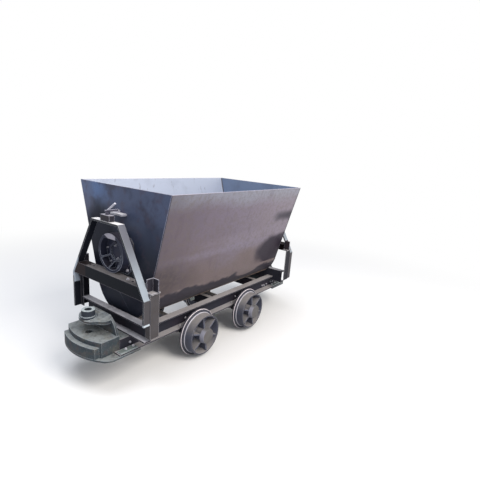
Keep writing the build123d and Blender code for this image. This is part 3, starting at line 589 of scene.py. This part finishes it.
def makePiece(name, shape, body, finish, sharpAngle=40):
    bmesh.ops.remove_doubles(shape, verts=shape.verts, dist=0.00001)
    bmesh.ops.recalc_face_normals(shape, faces=shape.faces)
    mesh = bpy.data.meshes.new(name)
    shape.to_mesh(mesh)
    shape.free()
    for face in mesh.polygons:
        face.use_smooth = True
    mesh.set_sharp_from_angle(angle=radians(sharpAngle))
    mesh.materials.append(finish)
    piece = bpy.data.objects.new(name, mesh)
    bpy.context.scene.collection.objects.link(piece)
    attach(piece, body)
    return piece


# Weld beads: rings along a path with a rippled radius, bridged one to the next

beadLook = {"step": 6, "sides": 8, "ripple": 0.16, "endSize": 0.4, "seed": 17}
draw = random.Random(beadLook["seed"])


def layBead(shape, path, radius):
    points = [Vector(p) * mm for p in path]
    bead = bmesh.new()
    stations = []
    for a, b in zip(points, points[1:]):
        count = max(2, round((b - a).length / (beadLook["step"] * mm)))
        stations += [(a.lerp(b, i / count), b - a) for i in range(count)]
    stations.append((points[-1], points[-1] - points[-2]))
    last = []
    for i, (place, run) in enumerate(stations):
        isTip = i in (0, len(stations) - 1)
        swell = radius * mm * (beadLook["endSize"] if isTip else 1 + beadLook["ripple"] * draw.uniform(-1, 1))
        turn = run.to_track_quat("Z", "Y").to_matrix().to_4x4()
        ring = bmesh.ops.create_circle(bead, cap_ends=isTip, segments=beadLook["sides"], radius=swell,
                                       matrix=Matrix.Translation(place) @ turn)["verts"]
        edges = list({e for v in ring for e in v.link_edges})
        if last:
            bmesh.ops.bridge_loops(bead, edges=last + edges)
        last = edges
    joinShape(shape, bead)


# The hopper's sizes and seams in millimetres. A rim is (across, up), and a bead is a radius
hopperSize = {"half": 750, "plate": 6, "troughRadius": 276, "troughCentre": 622, "rimHalf": 445,
              "rimHeight": 1215}
hopperSeams = {
    "outerRim": (444, 1213), "outerBead": 2.2,
    "innerRim": (437, 1212), "innerBead": 5, "innerStep": 8, "innerDepth": 1,
    "outerRadius": 277, "outerArcBead": 2.5, "innerRadius": 269, "innerArcBead": 4, "arcSteps": 60,
    "sideSpan": (-743, 743), "sideBead": 4,
    "padHalf": 120, "padCorner": 28, "padLow": 674, "padHigh": 905, "padBead": 4.5,
    "keeperSpan": (-56, 56), "keeperLevel": 1040, "keeperBead": 3,
    "proud": 0.5,    # how far the pad's and keeper's beads stand off the end plate
}
rimRise = hopperSize["rimHeight"] - hopperSize["troughCentre"]
sideAngle = (atan2(rimRise, hopperSize["rimHalf"])
             - acos(hopperSize["troughRadius"] / hypot(hopperSize["rimHalf"], rimRise)))
seamHeight = hopperSize["troughCentre"] + hopperSize["troughRadius"] * sin(sideAngle)
seamHalf = hopperSize["troughRadius"] * cos(sideAngle)


def arcPath(x, radius):
    # points round the trough from seam to seam, in one end's plane
    low, high = sideAngle, -pi - sideAngle
    count = hopperSeams["arcSteps"]
    angles = [low + (high - low) * i / count for i in range(count + 1)]
    return [(x, radius * cos(angle), hopperSize["troughCentre"] + radius * sin(angle)) for angle in angles]


def padPath(x):
    # round the rocker's pad, once
    corner = hopperSeams["padCorner"]
    half, cut = hopperSeams["padHalf"], hopperSeams["padHalf"] - corner
    low, high = hopperSeams["padLow"], hopperSeams["padHigh"]
    right = [(x, cut, low), (x, half, low + corner), (x, half, high - corner), (x, cut, high)]
    left = [(x, -y, z) for x, y, z in reversed(right)]
    return [left[-1], *right, *left]


hopperBeads = bmesh.new()
innerHalf = seamHalf - hopperSeams["innerStep"]
for way in ends:
    outside = way * (hopperSize["half"] - hopperSize["plate"])
    inside = outside - way * hopperSeams["innerDepth"]
    for hand in sides:
        for x, half, (rimHalf, rimHeight), bead in (
                (outside, seamHalf, hopperSeams["outerRim"], hopperSeams["outerBead"]),
                (inside, innerHalf, hopperSeams["innerRim"], hopperSeams["innerBead"])):
            layBead(hopperBeads, [(x, hand * half, seamHeight), (x, hand * rimHalf, rimHeight)], bead)
    layBead(hopperBeads, arcPath(outside, hopperSeams["outerRadius"]), hopperSeams["outerArcBead"])
    layBead(hopperBeads, arcPath(inside, hopperSeams["innerRadius"]), hopperSeams["innerArcBead"])
    face = way * (hopperSize["half"] + hopperSeams["proud"])
    layBead(hopperBeads, padPath(face), hopperSeams["padBead"])
    layBead(hopperBeads, [(face, y, hopperSeams["keeperLevel"]) for y in hopperSeams["keeperSpan"]],
            hopperSeams["keeperBead"])
for hand in sides:    # along the trough, inside only, as the outer bead is ground flush
    layBead(hopperBeads, [(x, hand * innerHalf, seamHeight) for x in hopperSeams["sideSpan"]],
            hopperSeams["sideBead"])
makePiece("hopperWelds", hopperBeads, "hopper", weldSteel)

# The frame's planes and edges where seams run, in millimetres from the cart's middle and the floor
frameSize = {
    "face": 826, "footOut": 372, "footIn": 360, "bend": 602, "longFoot": 352, "shortFoot": 444,
    "headstockBack": 783, "headstockHalf": 332, "headstockTop": 418,
    "crossbarTop": 680, "crossbarRun": (805, 869), "legInside": 313.5,
    "capTop": 640, "stopBack": 774, "stopIn": 334, "stopOut": 380,
    "soleTop": 350, "soleFlange": (184, 238), "soleWeb": 181,
    "crossPlaces": (-640, 0, 640), "crossEdges": (-20, 20), "crossSpan": (242, 318),
    "topBar": 1010, "blockEnds": (-45, 45), "blockRun": (833, 866), "blockSides": (831.5, 867.5),
    "blockSpan": (-44, 44), "thinBead": 3, "footBead": 3.5, "thickBead": 4, "bendBead": 5,
}


def cornerSeams(footEnd):
    # the seams at one corner as from, to and bead radius, with x and y outwards
    at = frameSize
    face, bend, half = at["face"], at["bend"], at["headstockHalf"]
    barStart, barEnd = at["crossbarRun"]
    flangeIn, flangeOut = at["soleFlange"]
    return [
        # the end frame's foot and bend, on the corner post
        ((face, at["footOut"], footEnd), (face, at["footOut"], bend - 2), at["footBead"]),
        ((face, at["footIn"], footEnd), (face, at["footIn"], bend + 26), at["footBead"]),
        ((face, at["footOut"] - 1, bend), (face, at["footOut"] - 20, bend + 34), at["bendBead"]),
        # the headstock's top flange and web, on the same post
        ((at["headstockBack"] + 1, half, at["headstockTop"]), (face - 2, half, at["headstockTop"]),
         at["thickBead"]),
        ((face, half, at["soleTop"]), (face, half, at["headstockTop"] - 2), at["thinBead"]),
        # the crossbar's top, on the sloping leg
        ((barStart, at["legInside"], at["crossbarTop"]), (barEnd, at["legInside"], at["crossbarTop"]),
         at["thickBead"]),
        # the stop angle's two edges, on the cap
        ((at["stopBack"] + 1, at["stopIn"], at["capTop"]), (face - 1, at["stopIn"], at["capTop"]),
         at["thinBead"]),
        ((at["stopBack"], at["stopIn"] + 1, at["capTop"]), (at["stopBack"], at["stopOut"], at["capTop"]),
         at["thinBead"]),
        # the sole bar's top flange, on the headstock
        ((at["headstockBack"], flangeIn, at["soleTop"]), (at["headstockBack"], flangeOut, at["soleTop"]),
         at["footBead"]),
    ]


frameBeads = bmesh.new()
for way in ends:
    for hand in sides:
        longFoot = way * hand < 0    # one foot at each end is longer
        footEnd = frameSize["longFoot"] if longFoot else frameSize["shortFoot"]
        for start, stop, bead in cornerSeams(footEnd):
            layBead(frameBeads, [(way * x, hand * y, z) for x, y, z in (start, stop)], bead)
        if way > 0:    # the cross members' ends, once for both ends of the cart
            web = hand * frameSize["soleWeb"]
            for edge in frameSize["crossEdges"]:
                for x in frameSize["crossPlaces"]:
                    layBead(frameBeads, [(x + edge, web, z) for z in frameSize["crossSpan"]],
                            frameSize["thinBead"])
    for y in frameSize["blockEnds"]:    # round the latch block, on the top bar
        layBead(frameBeads, [(way * x, y, frameSize["topBar"]) for x in frameSize["blockRun"]],
                frameSize["thinBead"])
    for x in frameSize["blockSides"]:
        layBead(frameBeads, [(way * x, y, frameSize["topBar"]) for y in frameSize["blockSpan"]],
                frameSize["thinBead"])
makePiece("frameWelds", frameBeads, "frame", weldSteel)
print("welds laid")


# Bolts: a washer, a chamfered six-sided head and the end of the stud

boltLook = {"flats": 24, "head": 13, "headCut": 1.2, "washer": 34, "washerThick": 3, "washerCut": 0.6,
            "stud": 16, "studCut": 1.0, "cornersOverFlats": 1.155, "turns": (0, 60),
            "washerSides": 20, "headSides": 6, "studSides": 12}


def boltModel(scale, studOut):
    # the sizes are boltLook's, times the scale
    look = boltLook
    bolt = bmesh.new()
    level = 0
    for count, width, depth, cut in (
            (look["washerSides"], look["washer"], look["washerThick"], look["washerCut"]),
            (look["headSides"], look["flats"] * look["cornersOverFlats"], look["head"], look["headCut"]),
            (look["studSides"], look["stud"], studOut, look["studCut"])):
        disc = bmesh.new()
        bmesh.ops.create_cone(disc, cap_ends=True, cap_tris=False, segments=count, radius1=width / 2 * mm,
                              radius2=width / 2 * mm, depth=depth * mm,
                              matrix=Matrix.Translation((0, 0, (level + depth / 2) * mm)))
        rims = [e for e in disc.edges if all(v.co.z > (level + depth * 0.9) * mm for v in e.verts)]
        bmesh.ops.bevel(disc, geom=rims, offset=cut * mm, offset_type="OFFSET", affect="EDGES", segments=2,
                        profile=0.5, material=-1)
        joinShape(bolt, disc)
        level += depth
    bmesh.ops.scale(bolt, vec=(scale,) * 3, verts=bolt.verts)
    return bolt


def placeBolts(shape, model, rows):
    # each row is a place in millimetres, the way the head points and a turn in degrees
    for place, points, turn in rows:
        bolt = model.copy()
        facing = Vector(points).to_track_quat("Z", "Y").to_matrix().to_4x4()
        bmesh.ops.transform(bolt, verts=bolt.verts, matrix=Matrix.Translation(Vector(place) * mm) @ facing
                            @ Matrix.Rotation(radians(turn), 4, "Z"))
        joinShape(shape, bolt)


smallBolt = boltModel(0.5, 4)
plainBolt = boltModel(0.62, 3)
nutOnStud = boltModel(0.42, 16)

# Places in millimetres: "web" rows are (along, up) on the sole bars' webs
boltPlaces = {
    "axle": 300, "fromAxle": (-120, 120), "flange": 214, "flangeTop": 239,
    "straps": (824, 880), "strapTop": 247,
    "web": 187, "webInner": {True: (342, 270), False: (260, 270)}, "webOuter": (830, 267),
    "webGroup": ((687, 262), (717, 258), (759, 262), (870, 258)),    # at one end of each sole bar
    "guide": (835, 178, 680), "guideTurn": 12,
}
frameBolts = bmesh.new()
for way in ends:
    for hand in sides:
        flangeMiddle = hand * boltPlaces["flange"]
        sameSign = way * hand > 0
        webRows = [boltPlaces["webInner"][sameSign], boltPlaces["webOuter"],
                   *(() if sameSign else boltPlaces["webGroup"])]
        rows = [((way * boltPlaces["axle"] + offset, flangeMiddle, boltPlaces["flangeTop"]), up,
                 draw.uniform(*boltLook["turns"])) for offset in boltPlaces["fromAxle"]]
        rows += [((way * x, flangeMiddle, boltPlaces["strapTop"]), up,
                  draw.uniform(*boltLook["turns"])) for x in boltPlaces["straps"]]
        rows += [((way * x, hand * boltPlaces["web"], z), (0, hand, 0),
                  draw.uniform(*boltLook["turns"])) for x, z in webRows]
        placeBolts(frameBolts, smallBolt, rows)
    x, y, z = boltPlaces["guide"]    # one guide bolt left in its hole
    placeBolts(frameBolts, plainBolt, [((way * x, way * y, z), up, boltPlaces["guideTurn"])])
makePiece("frameBolts", frameBolts, "frame", brightSteel)

# Two small lugs under the trough, one the half turn of the other
lug = {"centre": (-232, -142, 375), "size": (42, 18, 22), "round": 2}
lugShape = bmesh.new()
for way in (1, -1):
    x, y, z = lug["centre"]
    block = bmesh.new()
    bmesh.ops.create_cube(block, size=mm, matrix=Matrix.Translation(Vector((way * x, way * y, z)) * mm)
                          @ Matrix.Diagonal((*lug["size"], 1)))
    bmesh.ops.bevel(block, geom=block.edges[:], offset=lug["round"] * mm, offset_type="OFFSET",
                    affect="EDGES", segments=2, profile=0.5, material=-1)
    joinShape(lugShape, block)
makePiece("troughLugs", lugShape, "hopper", strapSteel)

# Bolts at the pads' corners, and studs with nuts well out on them: two in the hub, three in the pockets
rockerBolts = {
    "padFace": 772, "padHalf": 92, "padLevels": (702, 877), "padTurn": 20,
    "studFace": 782, "centre": 805.3,
    "studs": ((12, 38, 10), (-11, -41, 35), (93, 13, 5), (61, -73, 25), (-76, -57, 40)),    # across, up, turn
}
hopperBolts = bmesh.new()
for way in ends:
    rows = [((way * rockerBolts["padFace"], way * -hand * rockerBolts["padHalf"], z), (way, 0, 0),
             rockerBolts["padTurn"]) for hand in sides for z in rockerBolts["padLevels"]]
    placeBolts(hopperBolts, plainBolt, rows)
    rows = [((way * rockerBolts["studFace"], -way * y, rockerBolts["centre"] + z), (way, 0, 0), turn)
            for y, z, turn in rockerBolts["studs"]]
    placeBolts(hopperBolts, nutOnStud, rows)
makePiece("rockerBolts", hopperBolts, "hopper", brightSteel)
print("bolts placed")


# Camera, fitted to the photograph

view = {"place": (-2.139, -1.921, 1.460), "azimuth": -54.4, "elevation": 14.67, "roll": 4.38,
        "lens": 27.48, "shiftY": 0.0208, "clipEnd": 200}
lens = bpy.data.cameras.new("viewCamera")
lens.lens = view["lens"]
lens.shift_y = view["shiftY"]
lens.clip_end = view["clipEnd"]
camera = bpy.data.objects.new("viewCamera", lens)
turned = Matrix.Rotation(radians(view["azimuth"]), 4, "Z")
tilted = Matrix.Rotation(radians(90 - view["elevation"]), 4, "X")
rolled = Matrix.Rotation(radians(view["roll"]), 4, "Z")
camera.matrix_world = Matrix.Translation(view["place"]) @ turned @ tilted @ rolled
bpy.context.scene.collection.objects.link(camera)
bpy.context.scene.camera = camera
bpy.context.scene.view_settings.view_transform = "Standard"

# Floor and light

studio = {"floorHalf": 40, "floorColour": "#f4f3f1", "bounceColour": "#bcbcbc", "fadeStart": 1.8,
          "fadeEnd": 4.5, "sky": "#eef2fa", "skyStrength": 0.62, "lampsAim": (0, 0, 0.5),
          "lamps": [    # name, place, size, power, colour
              ("keySoftbox", (-0.4, -4.4, 4.4), 3.4, 310, "#fffaf4"),
              ("topSoftbox", (-1.2, 0.4, 5.0), 3.0, 110, "#f2f6ff"),
          ]}


def whiteForView(tree):
    # the camera, glossy and clear rays see white, the rest see the lit surface
    rays = addNode(tree, "ShaderNodeLightPath")
    seen = addNode(tree, "ShaderNodeMath", {"operation": "MAXIMUM"}, None,
                   {0: rays.outputs["Is Camera Ray"], 1: rays.outputs["Is Glossy Ray"]})
    seen = addNode(tree, "ShaderNodeMath", {"operation": "MAXIMUM"}, None,
                   {0: seen.outputs[0], 1: rays.outputs["Is Transmission Ray"]})
    return seen.outputs[0]


floorShape = bmesh.new()
bmesh.ops.create_grid(floorShape, x_segments=1, y_segments=1, size=studio["floorHalf"])
floorMesh = bpy.data.meshes.new("studioFloor")
floorShape.to_mesh(floorMesh)
floorShape.free()
floor = bpy.data.objects.new("studioFloor", floorMesh)
bpy.context.scene.collection.objects.link(floor)
floorMaterial = bpy.data.materials.new("paleFloor")
floorMaterial.use_nodes = True
floorTree = floorMaterial.node_tree
floorTree.nodes.clear()
floorPlace = addNode(floorTree, "ShaderNodeTexCoord")
reach = addNode(floorTree, "ShaderNodeVectorMath", {"operation": "LENGTH"}, None,
                {0: floorPlace.outputs["Object"]})
fade = addNode(floorTree, "ShaderNodeMapRange", {"interpolation_type": "SMOOTHSTEP"},
               {"From Min": studio["fadeStart"], "From Max": studio["fadeEnd"]},
               {"Value": reach.outputs["Value"]})
floorRays = addNode(floorTree, "ShaderNodeLightPath")
floorTone = addNode(floorTree, "ShaderNodeMix", {"data_type": "RGBA"},
                    {6: toLinear(studio["bounceColour"]), 7: toLinear(studio["floorColour"])},
                    {0: floorRays.outputs["Is Camera Ray"]})
matt = addNode(floorTree, "ShaderNodeBsdfDiffuse", None, None, {"Color": floorTone.outputs[2]})
white = addNode(floorTree, "ShaderNodeEmission", None, {"Color": (1, 1, 1, 1), "Strength": 1.0})
seen = whiteForView(floorTree)
faded = addNode(floorTree, "ShaderNodeMath", {"operation": "MULTIPLY"}, None, {0: fade.outputs[0], 1: seen})
surface = addNode(floorTree, "ShaderNodeMixShader", None, None,
                  {0: faded.outputs[0], 1: matt.outputs[0], 2: white.outputs[0]})
addNode(floorTree, "ShaderNodeOutputMaterial", None, None, {"Surface": surface.outputs[0]})
floorMesh.materials.append(floorMaterial)

world = bpy.data.worlds.new("softStudio")
bpy.context.scene.world = world
world.use_nodes = True
skyTree = world.node_tree
skyTree.nodes.clear()
sky = addNode(skyTree, "ShaderNodeBackground", None,
              {"Color": toLinear(studio["sky"]), "Strength": studio["skyStrength"]})
backdrop = addNode(skyTree, "ShaderNodeBackground", None, {"Color": (1, 1, 1, 1), "Strength": 1.0})
chosen = addNode(skyTree, "ShaderNodeMixShader", None, None,
                 {0: whiteForView(skyTree), 1: sky.outputs[0], 2: backdrop.outputs[0]})
addNode(skyTree, "ShaderNodeOutputWorld", None, None, {"Surface": chosen.outputs[0]})

for name, place, size, power, colour in studio["lamps"]:
    light = bpy.data.lights.new(name, "AREA")
    light.shape = "SQUARE"
    light.size = size
    light.energy = power
    light.color = toLinear(colour)[:3]
    lamp = bpy.data.objects.new(name, light)
    aim = (Vector(studio["lampsAim"]) - Vector(place)).to_track_quat("-Z", "Y")
    lamp.matrix_world = Matrix.Translation(place) @ aim.to_matrix().to_4x4()
    bpy.context.scene.collection.objects.link(lamp)
print("camera, floor and light set")
